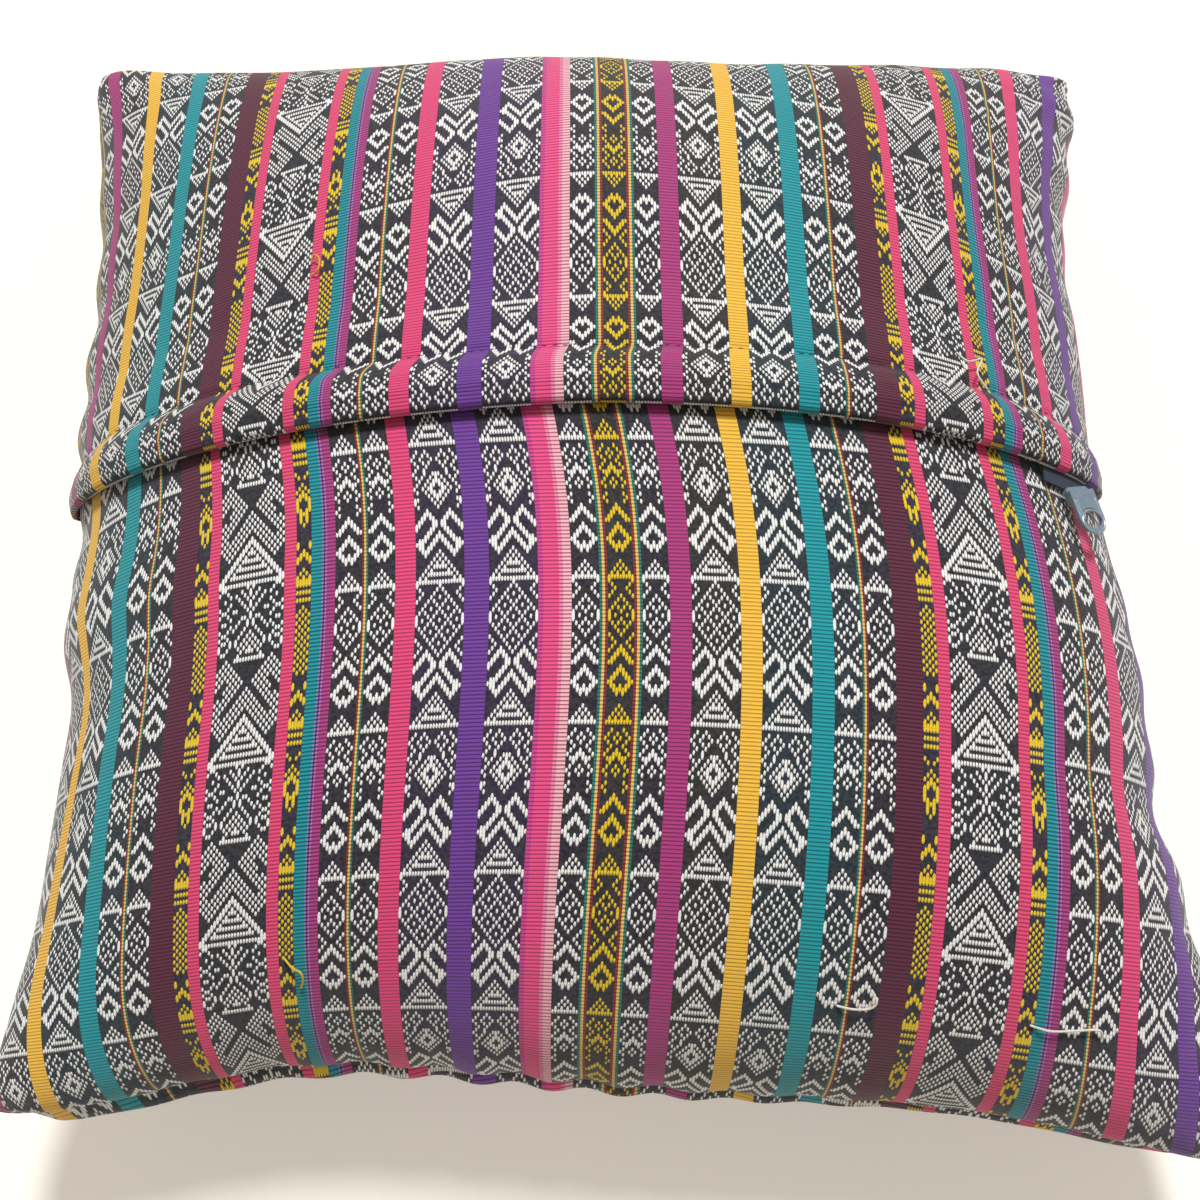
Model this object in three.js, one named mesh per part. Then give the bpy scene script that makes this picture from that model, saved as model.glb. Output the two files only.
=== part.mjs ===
// Filled pillow cover lying on its front panel, its envelope back facing up.
// Millimetres, +Z up. The cover rests at z = 0, with its bounding box centred on the Z axis.
// The back is two cloth panels: a flap whose hemmed edge overlaps the top of a lower panel and hides a zip.
import * as THREE from 'three';

// The filled cover, seen from above: where its four sewn corners lie and how far each one is lifted.
const SEAM_HEIGHT = 56;
const CORNERS = [
  { side: -1, end: 1, x: -224, y: 224, lift: 10 },
  { side: 1, end: 1, x: 220, y: 220, lift: 2 },
  { side: -1, end: -1, x: -211, y: -211, lift: 2 },
  { side: 1, end: -1, x: 216, y: -234, lift: -10 },
];
const CORNER_ROUNDING = 10;
const CORNER_SHARPNESS = 12;

// How far the middle of each side is drawn in by the filling, and how the draw-in fades towards the corners.
const DRAW_IN = {
  left: { depth: 23, fade: 0.5 },
  right: { depth: 28.5, fade: 0.8 },
  top: { depth: 10, fade: 1 },
  bottom: { depth: 28.5, fade: 0.9 },
};

// The crown over the seam, fuller to the right and to the bottom, and the belly under it, flat on the table.
const CROWN = 72;
const BELLY = 70;
const CROWN_SHAPE = 2.8;
const FULLER_RIGHT = 0.1;
const FULLER_BOTTOM = 0.1;
const BODY_CELLS = 32;

// The cloth skins over the body. Their edges stop a little short of the seam.
const SKIN_GAP = 0.85;
const CLOTH = 1.5;
const SKIN_REACH = 0.96;
const SKIN_COLUMNS = 28;
const LOWER_ROWS = 15;
const FLAP_ROWS = 10;

// The flap's fold line, a bowed line across the back, and the cloth run that one unit of reach covers.
const FOLD_LINE = 0.0855;
const FOLD_BOW = 0.0875;
const FOLD_BOW_POWER = 1.5;
const FOLD_TILT = 0.01;
const REACH_RUN = 310;
const LAP = 26;

// The flap near its fold, by distance from the fold line: its inner and outer height over the body.
const HEM = [
  { from: 0, inner: 4, outer: 5.2 },
  { from: 2, inner: 3.3, outer: 6.4 },
  { from: 7, inner: 3, outer: 7.2 },
  { from: 17, inner: 3, outer: 5.8 },
  { from: 20.5, inner: 2.9, outer: 4.4 },
  { from: 24, inner: 2.9, outer: 5 },
  { from: 32, inner: 2.9, outer: 4.4 },
  { from: 46, inner: SKIN_GAP, outer: SKIN_GAP + CLOTH },
];

// The zip shows only at the right end of the fold: the end of its tape, its slider and the slider's pull.
const TAPE = { left: 0.8, right: 0.93, gap: 1, width: 6, columns: 4, rows: 2 };
const TAPE_OVER_BODY = SKIN_GAP + CLOTH + 0.45;
const TAPE_THICK = 0.7;

// The pull hangs out over the cushion's right flank. In its own frame the hole is at the origin, the tip at +X.
const PULL_PLACE = { x: 167.9, y: -20.1, z: 109.6, heading: -78, tilt: -18 };
const PULL = { width: 10.4, hole: 3.85, thick: 1.4, shank: 10.8 };
const SLIDER = { from: -12.8, to: -5.8, width: 9.6, thick: 1.8, cornerRadius: 1.6 };
const SLIDER_GAP = 0.35;

const CLOTH_COLOUR = 0x3a3440;
const FRONT_COLOUR = 0x4a3a4c;
const TAPE_COLOUR = 0x4d5668;
const METAL_COLOUR = 0x7f95a8;

const clothMaterial = new THREE.MeshStandardMaterial({ color: CLOTH_COLOUR, roughness: 0.9, metalness: 0 });
const frontMaterial = new THREE.MeshStandardMaterial({ color: FRONT_COLOUR, roughness: 0.9, metalness: 0 });
const tapeMaterial = new THREE.MeshStandardMaterial({ color: TAPE_COLOUR, roughness: 0.8, metalness: 0 });
const metalMaterial = new THREE.MeshStandardMaterial({ color: METAL_COLOUR, roughness: 0.4, metalness: 0.3 });

// Height across one direction of the cushion: 1 in the middle, falling round to 0 at the seam.
function fullness(t) {
  return Math.sqrt(Math.max(0, 1 - Math.abs(t) ** CROWN_SHAPE));
}

function drawIn(side, t) {
  return side.depth * Math.max(0, 1 - t * t) ** side.fade;
}

// Plan position and lift of a spot, by its fractions tx and ty of the way from the middle to the seam.
function planPoint(tx, ty) {
  const point = new THREE.Vector3(0, 0, 0);
  for (const corner of CORNERS) {
    const weight = ((1 + corner.side * tx) * (1 + corner.end * ty)) / 4;
    point.x += weight * corner.x;
    point.y += weight * corner.y;
    point.z += weight * corner.lift * (tx * ty) ** 2;
  }
  const rounding = CORNER_ROUNDING * Math.abs(tx * ty) ** CORNER_SHARPNESS;
  point.x -= tx * drawIn(tx < 0 ? DRAW_IN.left : DRAW_IN.right, ty) + Math.sign(tx) * rounding;
  point.y -= ty * drawIn(ty < 0 ? DRAW_IN.bottom : DRAW_IN.top, tx) + Math.sign(ty) * rounding;
  return point;
}

function fractionOf(reach) {
  return Math.sin((Math.PI / 2) * reach);
}

function reachOf(fraction) {
  return Math.asin(fraction) / (Math.PI / 2);
}

// The crowned top of the filled body, by reach: 0 in the middle and 1 at the seam, finer towards the seam.
function topPoint(reachX, reachY) {
  const tx = fractionOf(reachX);
  const ty = fractionOf(reachY);
  const point = planPoint(tx, ty);
  const lean = 1 + FULLER_RIGHT * tx - FULLER_BOTTOM * ty;
  point.z += SEAM_HEIGHT + CROWN * fullness(tx) * fullness(ty) * lean;
  return point;
}

function bellyPoint(reachX, reachY) {
  const tx = fractionOf(reachX);
  const ty = fractionOf(reachY);
  const point = planPoint(tx, ty);
  point.z = Math.max(0, point.z + SEAM_HEIGHT - BELLY * fullness(tx) * fullness(ty));
  return point;
}

// The direction out of the cloth at a spot of the top.
function topNormal(reachX, reachY) {
  const step = 1e-3;
  const across = topPoint(reachX + step, reachY).sub(topPoint(reachX - step, reachY));
  const along = topPoint(reachX, reachY + step).sub(topPoint(reachX, reachY - step));
  return across.cross(along).normalize();
}

function overTop(reachX, reachY, height) {
  return topPoint(reachX, reachY).addScaledVector(topNormal(reachX, reachY), height);
}

function addQuad(faces, [a, b, c, d]) {
  faces.push(a, b, c, a, c, d);
}

// The faces of two grids that look opposite ways, each given as a function from a row and column to a point's index.
function facesOf(rows, columns, upperAt, lowerAt) {
  const faces = [];
  for (let row = 0; row < rows - 1; row += 1) {
    for (let column = 0; column < columns - 1; column += 1) {
      const ring = [[row, column], [row, column + 1], [row + 1, column + 1], [row + 1, column]];
      addQuad(faces, ring.map((spot) => upperAt(...spot)));
      addQuad(faces, ring.map((spot) => lowerAt(...spot)).reverse());
    }
  }
  return faces;
}

function geometryOf(upper, lower, faces) {
  const positions = [...upper.flat(), ...lower.flat()].flatMap((point) => point.toArray());
  const geometry = new THREE.BufferGeometry();
  geometry.setAttribute('position', new THREE.Float32BufferAttribute(positions, 3));
  geometry.setIndex(faces);
  return geometry;
}

// One closed mesh from two grids of points that face opposite ways, walled together round their rims.
function walledShell(upper, lower) {
  const rows = upper.length;
  const columns = upper[0].length;
  const upperAt = (row, column) => row * columns + column;
  const lowerAt = (row, column) => rows * columns + upperAt(row, column);
  const faces = facesOf(rows, columns, upperAt, lowerAt);
  const rim = rimOf(rows, columns);
  rim.forEach((spot, index) => {
    const next = rim[(index + 1) % rim.length];
    addQuad(faces, [lowerAt(...spot), lowerAt(...next), upperAt(...next), upperAt(...spot)]);
  });
  return geometryOf(upper, lower, faces);
}

// The same for two grids that meet along their rims, so they need no wall.
function seamedShell(upper, lower) {
  const cells = upper.length - 1;
  const onRim = (row, column) => [0, cells].includes(row) || [0, cells].includes(column);
  const upperAt = (row, column) => row * (cells + 1) + column;
  const lowerAt = (row, column) => upperAt(row, column) + (onRim(row, column) ? 0 : (cells + 1) ** 2);
  return geometryOf(upper, lower, facesOf(cells + 1, cells + 1, upperAt, lowerAt));
}

// The grid's rim, once round, with the grid's inside on the left.
function rimOf(rows, columns) {
  const rim = [];
  for (let column = 0; column < columns - 1; column += 1) rim.push([0, column]);
  for (let row = 0; row < rows - 1; row += 1) rim.push([row, columns - 1]);
  for (let column = columns - 1; column > 0; column -= 1) rim.push([rows - 1, column]);
  for (let row = rows - 1; row > 0; row -= 1) rim.push([row, 0]);
  return rim;
}

function spread(from, to, cells) {
  return Array.from({ length: cells + 1 }, (_, index) => THREE.MathUtils.lerp(from, to, index / cells));
}

// A sheet over the top of the body. Each row gives its reach at a column, and its inner and outer height.
function sheet(rows, reachesX) {
  const pointAt = (row, reachX, side) => overTop(reachX, row.reachAt(reachX), row[side]);
  const face = (side) => rows.map((row) => reachesX.map((reachX) => pointAt(row, reachX, side)));
  return walledShell(face('outer'), face('inner'));
}

// The fold line's reach at a column, moved up the cloth by a distance.
function foldReach(reachX, distance = 0) {
  const tx = fractionOf(reachX);
  const bow = FOLD_BOW * Math.abs(tx) ** FOLD_BOW_POWER;
  return reachOf(FOLD_LINE - bow + FOLD_TILT * tx) + distance / REACH_RUN;
}

// The front panel with the filling behind it: the solid that the back panels are stretched over.
function frontPanel() {
  const reaches = spread(-1, 1, BODY_CELLS);
  const grid = (pointAt) => reaches.map((reachY) => reaches.map((reachX) => pointAt(reachX, reachY)));
  return seamedShell(grid(topPoint), grid(bellyPoint));
}

function lowerPanel() {
  const reachesX = spread(-SKIN_REACH, SKIN_REACH, SKIN_COLUMNS);
  const rows = spread(0, 1, LOWER_ROWS).map((share) => ({
    reachAt: (reachX) => THREE.MathUtils.lerp(-SKIN_REACH, foldReach(reachX, LAP), share),
    inner: SKIN_GAP,
    outer: SKIN_GAP + CLOTH,
  }));
  return sheet(rows, reachesX);
}

function flapPanel() {
  const reachesX = spread(-SKIN_REACH, SKIN_REACH, SKIN_COLUMNS);
  const hemRows = HEM.map(({ from, inner, outer }) => ({
    reachAt: (reachX) => foldReach(reachX, from),
    inner,
    outer,
  }));
  const last = HEM[HEM.length - 1];
  const plainRows = spread(0, 1, FLAP_ROWS).slice(1).map((share) => ({
    reachAt: (reachX) => THREE.MathUtils.lerp(foldReach(reachX, last.from), SKIN_REACH, share),
    inner: last.inner,
    outer: last.outer,
  }));
  return sheet([...hemRows, ...plainRows], reachesX);
}

function zipTape() {
  const rows = spread(-TAPE.gap - TAPE.width, -TAPE.gap, TAPE.rows).map((distance) => ({
    reachAt: (reachX) => foldReach(reachX, distance),
    inner: TAPE_OVER_BODY,
    outer: TAPE_OVER_BODY + TAPE_THICK,
  }));
  return sheet(rows, spread(reachOf(TAPE.left), reachOf(TAPE.right), TAPE.columns));
}

function plate(outline, thickness, bottom) {
  const settings = { depth: thickness, bevelEnabled: false, curveSegments: 16, steps: 1 };
  return new THREE.ExtrudeGeometry(outline, settings).translate(0, 0, bottom);
}

// The slider: a flat plate with round corners, just under the square end of the pull.
function zipSlider() {
  const { from, to, cornerRadius } = SLIDER;
  const half = SLIDER.width / 2;
  const outline = new THREE.Shape();
  outline.moveTo(from + cornerRadius, -half);
  outline.absarc(to - cornerRadius, -half + cornerRadius, cornerRadius, -Math.PI / 2, 0, false);
  outline.absarc(to - cornerRadius, half - cornerRadius, cornerRadius, 0, Math.PI / 2, false);
  outline.absarc(from + cornerRadius, half - cornerRadius, cornerRadius, Math.PI / 2, Math.PI, false);
  outline.absarc(from + cornerRadius, -half + cornerRadius, cornerRadius, Math.PI, 1.5 * Math.PI, false);
  return plate(outline, SLIDER.thick, -PULL.thick / 2 - SLIDER_GAP - SLIDER.thick);
}

// The pull: a flat bar with a square end and a round end, and a round hole there. Its hole is at its origin.
function zipPull() {
  const half = PULL.width / 2;
  const outline = new THREE.Shape();
  outline.moveTo(-PULL.shank, -half);
  outline.lineTo(0, -half);
  outline.absarc(0, 0, half, -Math.PI / 2, Math.PI / 2, false);
  outline.lineTo(-PULL.shank, half);
  outline.closePath();
  const hole = new THREE.Path();
  hole.absarc(0, 0, PULL.hole, 0, 2 * Math.PI, true);
  outline.holes.push(hole);
  return plate(outline, PULL.thick, -PULL.thick / 2);
}

function addPart(parent, name, geometry, material) {
  const mesh = new THREE.Mesh(geometry, material);
  mesh.name = name;
  parent.add(mesh);
  return mesh;
}

const cover = new THREE.Group();
const body = addPart(cover, 'front_panel', frontPanel(), frontMaterial);
addPart(cover, 'back_lower_panel', lowerPanel(), clothMaterial);
addPart(cover, 'back_flap_panel', flapPanel(), clothMaterial);
addPart(cover, 'zip_tape', zipTape(), tapeMaterial);

const pullFrame = new THREE.Group();
pullFrame.position.set(PULL_PLACE.x, PULL_PLACE.y, PULL_PLACE.z);
pullFrame.rotation.order = 'ZYX';
pullFrame.rotation.z = THREE.MathUtils.degToRad(PULL_PLACE.heading);
pullFrame.rotation.x = THREE.MathUtils.degToRad(PULL_PLACE.tilt);
cover.add(pullFrame);
addPart(pullFrame, 'zip_slider', zipSlider(), metalMaterial);
addPart(pullFrame, 'zip_pull', zipPull(), metalMaterial);

// The seam's outline isn't quite even, so the whole cover moves to put its bounding box over the origin.
body.geometry.computeBoundingBox();
const middle = body.geometry.boundingBox.getCenter(new THREE.Vector3());
cover.position.set(-middle.x, -middle.y, 0);

export default cover;
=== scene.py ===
"""A filled pillow cover in striped, handwoven cloth, lying with its envelope back up.

The striped cloth is laid over the cushion in the cloth's own measure. A place on it is given by u, the share
of the way across from the middle to a side seam, and v, the same along the cover, both from -1 to 1. Lengths
are millimetres until a mesh is made.
"""

import math

import bpy
import numpy as np
from mathutils import Matrix, Vector


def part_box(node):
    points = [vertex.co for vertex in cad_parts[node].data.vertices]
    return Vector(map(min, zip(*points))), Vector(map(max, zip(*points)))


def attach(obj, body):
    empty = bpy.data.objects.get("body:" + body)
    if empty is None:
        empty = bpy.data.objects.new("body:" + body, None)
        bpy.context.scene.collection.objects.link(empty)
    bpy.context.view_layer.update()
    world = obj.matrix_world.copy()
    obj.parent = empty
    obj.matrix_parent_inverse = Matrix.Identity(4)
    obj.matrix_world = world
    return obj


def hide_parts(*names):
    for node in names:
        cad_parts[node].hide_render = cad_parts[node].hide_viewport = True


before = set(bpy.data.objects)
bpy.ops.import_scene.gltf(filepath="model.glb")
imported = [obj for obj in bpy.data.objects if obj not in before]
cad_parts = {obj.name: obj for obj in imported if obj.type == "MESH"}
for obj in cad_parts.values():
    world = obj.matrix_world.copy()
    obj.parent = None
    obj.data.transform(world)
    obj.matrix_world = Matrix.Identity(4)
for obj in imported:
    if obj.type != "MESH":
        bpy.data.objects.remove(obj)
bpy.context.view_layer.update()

METRES = 0.001

# ---- the filled cushion

# The seam, the crown over it, the belly under it and the drawn-in sides follow the part's own dimensions. The
# cut cloth and the fine waves of the sides are given only here.
HALF_CUT = 228.5
SEAM_HEIGHT = 56.0
CROWN = 72.0
BELLY = 70.0
CROWN_SHAPE = 2.8  # the power of the crown's curve
FULLER_RIGHT = 0.1
FULLER_BOTTOM = 0.1
REACH = 215.0  # half the width of the filled cover before its sides are drawn in
CORNERS = [  # side, end, x, y, lift
    (-1, 1, -224.0, 224.0, 10.0),
    (1, 1, 220.0, 220.0, 2.0),
    (-1, -1, -213.0, -211.0, 2.0),
    (1, -1, 216.0, -234.0, -10.0),
]
DRAW_LEFT = (23.0, 0.5)  # depth, power of the fade towards the corners
DRAW_RIGHT = (28.5, 0.8)
DRAW_TOP = (10.0, 1.0)
DRAW_BOTTOM = (28.5, 0.9)
SIDE_WAVES = {  # by side, as axis and direction: place along it, width, how far out
    (0, -1): [  # left
        (0.18, 0.2, 5.0), (-0.62, 0.25, -4.0), (-0.93, 0.12, 3.5), (0.09, 0.13, -2.5),
        (-0.2, 0.06, 3.0), (-0.37, 0.1, -3.0), (0.94, 0.06, 3.0), (1.0, 0.012, -1.8),
    ],
    (0, 1): [  # right
        (0.6, 0.25, -3.5), (-0.22, 0.15, 2.5), (0.1, 0.13, -4.5), (0.5, 0.12, -2.0),
        (-0.48, 0.08, -3.5),
    ],
    (1, -1): [  # bottom
        (-0.5, 0.3, -7.0), (0.1, 0.3, 2.5), (0.6, 0.25, -2.0),
    ],
    (1, 1): [  # top
        (-0.97, 0.05, 2.0), (0.92, 0.1, -2.5), (-0.08, 0.34, 10.0), (-0.75, 0.2, -2.5),
        (0.75, 0.2, -3.0),
    ],
}
SIDE_WAVE_POWER = 4  # how fast a side's wave dies away inwards
CORNER_ROUNDING = 10.0
CORNER_SHARPNESS = 12
BODY_CELLS = 96
ARC_STEPS = 161


def swell(place, middle, width):
    """1 at the middle, falling smoothly to nothing on both sides."""
    return np.exp(-(((place - middle) / width) ** 2))


def eased(distance, width):
    """0 at no distance, rising smoothly to 1 at the width."""
    t = np.clip(distance / width, 0, 1)
    return t * t * (3 - 2 * t)


def fullness(t):
    """The crown's height along one direction, as a share of its height at the middle."""
    return np.sqrt(np.clip(1 - np.abs(t) ** CROWN_SHAPE, 0, None))


def fraction_at(share, ratio):
    """The plan fraction at a share of the arc length. The arc's height is ratio times its half width."""
    t = 1 - (1 - np.linspace(0, 1, ARC_STEPS)) ** 2
    rise = np.diff(fullness(t)) ** 2
    run = np.diff(t) ** 2
    share, ratio = np.broadcast_arrays(share, np.round(ratio, 4))
    result = np.empty(share.shape)
    for one in np.unique(ratio):
        here = ratio == one
        arc = np.concatenate([[0], np.cumsum(np.sqrt(run + one**2 * rise))])
        result[here] = np.sign(share[here]) * np.interp(np.abs(share[here]) * arc[-1], arc, t)
    return result


def plan_fractions(u, v):
    """Where a place on the cloth lies in the cushion's plan, both ways from -1 to 1."""
    middle = CROWN / REACH
    half_x = REACH - 0.5 * (DRAW_LEFT[0] + DRAW_RIGHT[0]) * (1 - v**2)
    half_y = REACH - 0.5 * (DRAW_TOP[0] + DRAW_BOTTOM[0]) * (1 - u**2)
    tx = fraction_at(u, CROWN * fullness(fraction_at(v, middle)) / half_x)
    ty = fraction_at(v, CROWN * fullness(fraction_at(u, middle)) / half_y)
    return tx, ty


def draw_in(t, low_side, high_side, along):
    """How far the sides are drawn in at a place along them, shared out between the two sides."""
    low = low_side[0] * (1 - along**2) ** low_side[1]
    high = high_side[0] * (1 - along**2) ** high_side[1]
    return t * np.where(t < 0, low, high)


def plan(tx, ty):
    """The plan's x and y at its fractions, and how far the corners lift the seam there."""
    x, y, lift = 0.0, 0.0, 0.0
    for side, end, corner_x, corner_y, corner_lift in CORNERS:
        weight = (1 + side * tx) * (1 + end * ty) / 4
        x = x + weight * corner_x
        y = y + weight * corner_y
        lift = lift + weight * corner_lift * (tx * ty) ** 2
    rounding = CORNER_ROUNDING * np.abs(tx * ty) ** CORNER_SHARPNESS
    x = x - draw_in(tx, DRAW_LEFT, DRAW_RIGHT, ty) - np.sign(tx) * rounding
    y = y - draw_in(ty, DRAW_BOTTOM, DRAW_TOP, tx) - np.sign(ty) * rounding
    for (axis, side), waves in SIDE_WAVES.items():
        across, along = (ty, tx) if axis else (tx, ty)
        near = np.clip(side * across, 0, 1) ** SIDE_WAVE_POWER
        move = side * near * sum(out * swell(along, place, width) for place, width, out in waves)
        x = x + (1 - axis) * move
        y = y + axis * move
    return x, y, lift


def cushion_grids():
    """The top and the belly of the cushion as grids of points, rows along v and columns across u."""
    shares = np.linspace(-1, 1, BODY_CELLS + 1)
    u, v = np.meshgrid(shares, shares)
    tx, ty = plan_fractions(u, v)
    x, y, lift = plan(tx, ty)
    full = fullness(tx) * fullness(ty)
    top = SEAM_HEIGHT + CROWN * full * (1 + FULLER_RIGHT * tx - FULLER_BOTTOM * ty) + lift
    belly = np.maximum(0, SEAM_HEIGHT + lift - BELLY * full)
    middle_x = (x.max() + x.min()) / 2
    middle_y = (y.max() + y.min()) / 2
    low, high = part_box("front_panel")
    x = x - middle_x + (low.x + high.x) / 2 / METRES
    y = y - middle_y + (low.y + high.y) / 2 / METRES
    return np.stack([x, y, top], -1), np.stack([x, y, belly], -1), (middle_x, middle_y)


# ---- the filling, by cloth simulation

LAST_FRAME = 20
MOST_MOVE = 9.0
CLOTH_SETTINGS = {
    "use_pressure": True,
    "uniform_pressure_force": 4.0,
    "quality": 5,
    "mass": 0.2,
    "tension_stiffness": 60.0,
    "compression_stiffness": 60.0,
    "shear_stiffness": 12.0,
    "bending_stiffness": 0.3,
}


def filled_grids(top, belly):
    """Both grids after Blender's cloth has filled a cover of the cut size, with each point's move capped."""
    count = BODY_CELLS + 1
    rim = np.ones((count, count), bool)
    rim[1:-1, 1:-1] = False
    upper = np.arange(count * count).reshape(count, count)
    under = upper.copy()
    under[~rim] = count * count + np.arange((count - 2) ** 2)
    start = np.concatenate([top.reshape(-1, 3), belly[~rim]]) * METRES
    quads = [
        np.stack([g[:-1, :-1], g[:-1, 1:], g[1:, 1:], g[1:, :-1]], -1).reshape(-1, 4)[:, ::turn]
        for g, turn in ((upper, 1), (under, -1))
    ]
    mesh = bpy.data.meshes.new("filling")
    mesh.from_pydata(start.tolist(), [], np.concatenate(quads).tolist())
    body = add_object("filling", mesh)
    body.shape_key_add(name="filled")
    cut = body.shape_key_add(name="cut")
    shares = np.linspace(-HALF_CUT, HALF_CUT, count) * METRES
    x, y = np.meshgrid(shares, shares)
    flat = np.stack([x, y, np.zeros_like(x)], -1)
    cut.data.foreach_set("co", np.concatenate([flat.reshape(-1, 3), flat[~rim]]).astype(np.float32).ravel())
    cut.value = 0.0
    cloth = body.modifiers.new("fill", "CLOTH")
    cloth.settings.rest_shape_key = cut
    cloth.settings.effector_weights.gravity = 0.0
    held = body.vertex_groups.new(name="seam")
    held.add([int(p) for p in upper[rim]], 1.0, "REPLACE")
    cloth.settings.vertex_group_mass = "seam"
    for name, value in CLOTH_SETTINGS.items():
        setattr(cloth.settings, name, value)
    cloth.point_cache.frame_start = 1
    cloth.point_cache.frame_end = LAST_FRAME
    for number in range(1, LAST_FRAME + 1):
        bpy.context.scene.frame_set(number)
    graph = bpy.context.evaluated_depsgraph_get()
    done = np.empty(len(start) * 3, np.float32)
    body.evaluated_get(graph).data.vertices.foreach_get("co", done)
    move = (done.reshape(-1, 3) - start) / METRES
    far = np.linalg.norm(move, axis=1, keepdims=True)
    move *= np.tanh(far / MOST_MOVE) * MOST_MOVE / np.maximum(far, 1e-6)
    end = start / METRES + move
    end[:, 2] = np.maximum(end[:, 2], 0)
    bpy.data.objects.remove(body)
    bpy.context.scene.frame_set(1)
    return end[upper], end[under]


class Surface:
    """A grid of points that is read smoothly at any u and v, with its direction out of the cloth."""

    def __init__(self, points, outward=1):
        self.cells = len(points) - 1
        across = np.gradient(points, axis=1)
        along = np.gradient(points, axis=0)
        normals = outward * np.cross(across, along)
        normals /= np.linalg.norm(normals, axis=-1, keepdims=True) + 1e-9
        self.points = self.padded(points)
        self.normals = self.padded(normals)
        middle = points[:, self.cells // 2]
        self.run = np.linalg.norm(np.diff(middle, axis=0), axis=-1).sum() / 2

    @staticmethod
    def padded(grid):
        """The grid with one more row and column on every side, run on straight."""
        return np.pad(grid, ((1, 1), (1, 1), (0, 0)), mode="reflect", reflect_type="odd")

    def read(self, grid, u, v):
        """Catmull-Rom interpolation in both directions."""
        result = 0.0
        i, across = self.weights(u)
        j, along = self.weights(v)
        for a in range(4):
            for b in range(4):
                result = result + (along[b] * across[a])[..., None] * grid[j + b, i + a]
        return result

    def weights(self, share):
        """The first of the four cells that a place reads, and how much it takes from each."""
        place = np.clip((share + 1) / 2 * self.cells, 0, self.cells)
        cell = np.minimum(place.astype(int), self.cells - 1)
        t = place - cell
        return cell, (
            (-t + 2 * t**2 - t**3) / 2,
            (2 - 5 * t**2 + 3 * t**3) / 2,
            (t + 4 * t**2 - 3 * t**3) / 2,
            (-(t**2) + t**3) / 2,
        )

    def at(self, u, v, height=0.0):
        """The points at a height over the cloth."""
        u, v, height = np.broadcast_arrays(u, v, height)
        normal = self.read(self.normals, u, v)
        normal /= np.linalg.norm(normal, axis=-1, keepdims=True)
        return self.read(self.points, u, v) + height[..., None] * normal


# ---- the cloth's stripes

UNIT = 0.3222  # one unit of the widths below
COLUMN_STEP = 2.6  # the widest column of a cloth mesh
STRIPE_MIDDLE = 6.5  # how far right of the cover's middle the yellow-figured stripe lies


def srgb(code):
    """A colour written as six hexadecimal digits, as linear red, green, blue and alpha."""
    parts = [int(code[i : i + 2], 16) / 255 for i in (0, 2, 4)]
    return [p / 12.92 if p <= 0.04045 else ((p + 0.055) / 1.055) ** 2.4 for p in parts] + [1.0]


GROUND = srgb("211e29")
WHITE = srgb("fdfcf9")
YELLOW = srgb("f4cf22")

# Kind, width in units, colour of the ground or of a rib's crest, colour of the floats or of the gap between
# ribs. A rib's crest colour is its dye lightened as a painted highlight, and its gap colour is the dye
# darkened as
# painted shade. Kinds: n narrow figures, w wide figures, s small figures, t large triangles, r plain ribs.
N = ("n", 28.0, GROUND, WHITE)
W = ("w", 49.5, GROUND, WHITE)
T = ("t", 72.0, srgb("211f29"), WHITE)
S = ("s", 16.0, srgb("262030"), YELLOW)
BLUE_GROUND = srgb("1b2932")
PLUM_GROUND = srgb("2a1f36")
BROWN_GROUND = srgb("262325")
MIDDLE = ("n", 27.0, srgb("262324"), YELLOW)


def dyed(stripe, ground):
    kind, width, _, thread = stripe
    return (kind, width, ground, thread)


# A rib's two colours: its dye lightened on the crest as a painted highlight, and darkened in the gap as
# painted shade.
def rib(width, crest_painted_highlight, gap_painted_shade):
    return [("r", width, srgb(crest_painted_highlight), srgb(gap_painted_shade))]


MAGENTA = rib(22.0, "b83f84", "93306a")
GOLD = rib(21.0, "fdcb48", "e2a43c")
TEAL = rib(22.0, "1fa3ab", "107884")
MAROON = rib(27.0, "672a42", "461a2e")
ROSE = rib(12.5, "f0507e", "c43864")
CORAL = rib(21.0, "f04c82", "c63a6c")
VIOLET = rib(25.0, "7a43a2", "583080")
TEAL_PLUM = (
    rib(11.5, "1a9ba6", "0c606d")
    + rib(1.6, "9a86c4", "43386f")
    + rib(1.6, "6f2c74", "471a4c")
    + rib(1.6, "b184c0", "6a2c70")
    + rib(9.0, "b54388", "7e285e")
)
HOT = (
    rib(5.0, "d84a98", "a83478")
    + rib(16.0, "f5568f", "c63c72")
    + rib(4.0, "f58fb0", "b84c78")
    + rib(8.5, "f9c2c6", "c26a84")
)


def pin_stripes(width):
    """Three fine stripes side by side: teal, gold and red."""
    return rib(width, "2f8478", "1f5e54") + rib(width, "f2cc70", "cc9c48") + rib(width, "963a3c", "6a2428")


PIN = pin_stripes(2.0)
SIDE_PIN = pin_stripes(2.8)

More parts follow.
